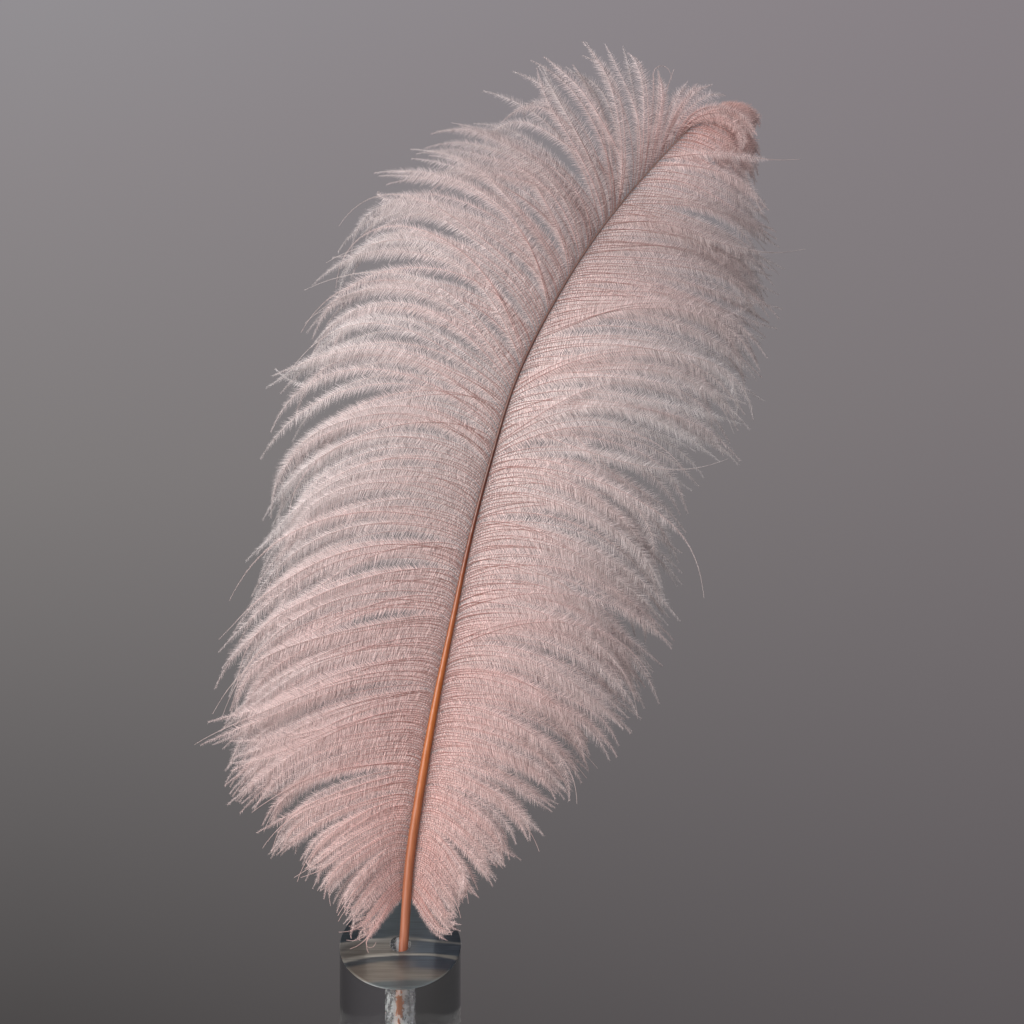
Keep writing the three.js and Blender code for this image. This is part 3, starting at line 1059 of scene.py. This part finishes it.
def make_shaft(shaft, material):
    share = np.linspace(0, 1, SHAFT_RINGS)
    centre, along, radius = shaft.point(share), shaft.tangent(share), shaft.radius(share)
    front, side = frames_along(along)
    turn = np.linspace(0, 2 * math.pi, SHAFT_SIDES, endpoint=False)[None, :, None]
    rings = centre[:, None] + radius[:, None, None] * (
        np.cos(turn) * side[:, None] + np.sin(turn) * front[:, None]
    )
    vertices = np.vstack([rings.reshape(-1, 3), centre[:1] - along[:1] * QUILL_POINT, centre[-1:]])
    bands = ring_bands(SHAFT_RINGS, SHAFT_SIDES)
    ends = ring_ends(SHAFT_RINGS, SHAFT_SIDES, len(vertices) - 2, len(vertices) - 1)
    made = new_mesh("quill_and_rachis", vertices, np.vstack([bands, *ends]))
    point_values(made, "share", np.concatenate([np.repeat(share, SHAFT_SIDES), [0, 1]]))
    made.data.materials.append(material)
    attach(made, "root")
    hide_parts("quill_and_shaft")


# ---- Camera, lights and floor ----


def make_camera():
    data = bpy.data.cameras.new("photo_view")
    camera = bpy.data.objects.new("photo_view", data)
    bpy.context.scene.collection.objects.link(camera)
    half = PHOTO_SIZE / 2
    across = (half - MOUTH_PIXEL[0]) * PHOTO_SCALE
    height = MOUTH_HEIGHT + (MOUTH_PIXEL[1] - half) * PHOTO_SCALE
    camera.location = Vector((across, -CAMERA_DISTANCE, height)) * MM
    camera.rotation_euler = (math.pi / 2, 0, 0)
    data.sensor_width = SENSOR_WIDTH
    data.lens = SENSOR_WIDTH * CAMERA_DISTANCE / (PHOTO_SIZE * PHOTO_SCALE)
    data.clip_start = 0.05
    data.clip_end = 30
    bpy.context.scene.camera = camera


def area_light(name, place, target, size, watts, colour):
    data = bpy.data.lights.new(name, "AREA")
    data.shape = "RECTANGLE"
    data.size, data.size_y = size
    data.energy = watts
    data.color = colour
    light = bpy.data.objects.new(name, data)
    bpy.context.scene.collection.objects.link(light)
    light.location = place
    light.rotation_euler = (Vector(target) - Vector(place)).to_track_quat("-Z", "Y").to_euler()


def make_world():
    """A plain studio backdrop: it is lightest a little above the horizon and a touch darker to one side."""
    world = bpy.data.worlds.new("studio")
    bpy.context.scene.world = world
    world.use_nodes = True
    nodes, links = world.node_tree.nodes, world.node_tree.links
    place = nodes.new("ShaderNodeTexCoord")
    split = nodes.new("ShaderNodeSeparateXYZ")
    links.new(place.outputs["Generated"], split.inputs["Vector"])
    x, z = split.outputs["X"], split.outputs["Z"]
    clamp = nodes.new("ShaderNodeClamp")
    clamp.inputs["Min"].default_value = -0.12
    clamp.inputs["Max"].default_value = 0.12
    links.new(x, clamp.inputs["Value"])
    near = clamp.outputs["Result"]

    tilted = multiply_add(nodes, links, near, -0.06, z)
    steeper = multiply_add(nodes, links, multiply_add(nodes, links, near, -2.0, 0.0), z, tilted)
    bowed = multiply_add(nodes, links, multiply_add(nodes, links, x, -0.1, 0.0), x, steeper)
    sky = ramp(nodes, links, from_range(nodes, links, bowed, -0.6, 0.8), BACKDROP)
    hue = ramp(nodes, links, multiply_add(nodes, links, near, 4.2, 0.5), BACKDROP_HUES)
    links.new(multiplied(nodes, links, sky, hue), nodes["Background"].inputs["Color"])
    nodes["Background"].inputs["Strength"].default_value = 1.0


def make_floor(material):
    turn = np.linspace(0, 2 * math.pi, FLOOR_SIDES, endpoint=False)
    vertices = np.vstack([ring(FLOOR_RADIUS, turn, 0.0), [[0, 0, 0]]])
    vertices[:, 1] += FLOOR_CENTRE_Y
    i = np.arange(FLOOR_SIDES)
    faces = triples(i, (i + 1) % FLOOR_SIDES, np.full_like(i, FLOOR_SIDES))
    floor = new_mesh("floor", vertices, faces)
    floor.data.materials.append(material)


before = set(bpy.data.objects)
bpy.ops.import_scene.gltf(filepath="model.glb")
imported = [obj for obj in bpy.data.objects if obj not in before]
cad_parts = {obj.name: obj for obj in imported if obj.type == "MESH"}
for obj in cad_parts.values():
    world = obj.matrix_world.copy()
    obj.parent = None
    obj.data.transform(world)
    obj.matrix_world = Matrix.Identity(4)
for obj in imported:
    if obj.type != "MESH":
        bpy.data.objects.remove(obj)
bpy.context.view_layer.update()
bpy.context.scene.view_settings.view_transform = "Standard"
make_camera()
make_world()
for light in LIGHTS:
    area_light(*light)
make_floor(floor_material())
shaft = Shaft()
make_stand(acrylic_material(), drilled_material(), sawn_material(), np.random.default_rng(SEED))
make_shaft(shaft, quill_material())
make_plume(shaft, barb_material())
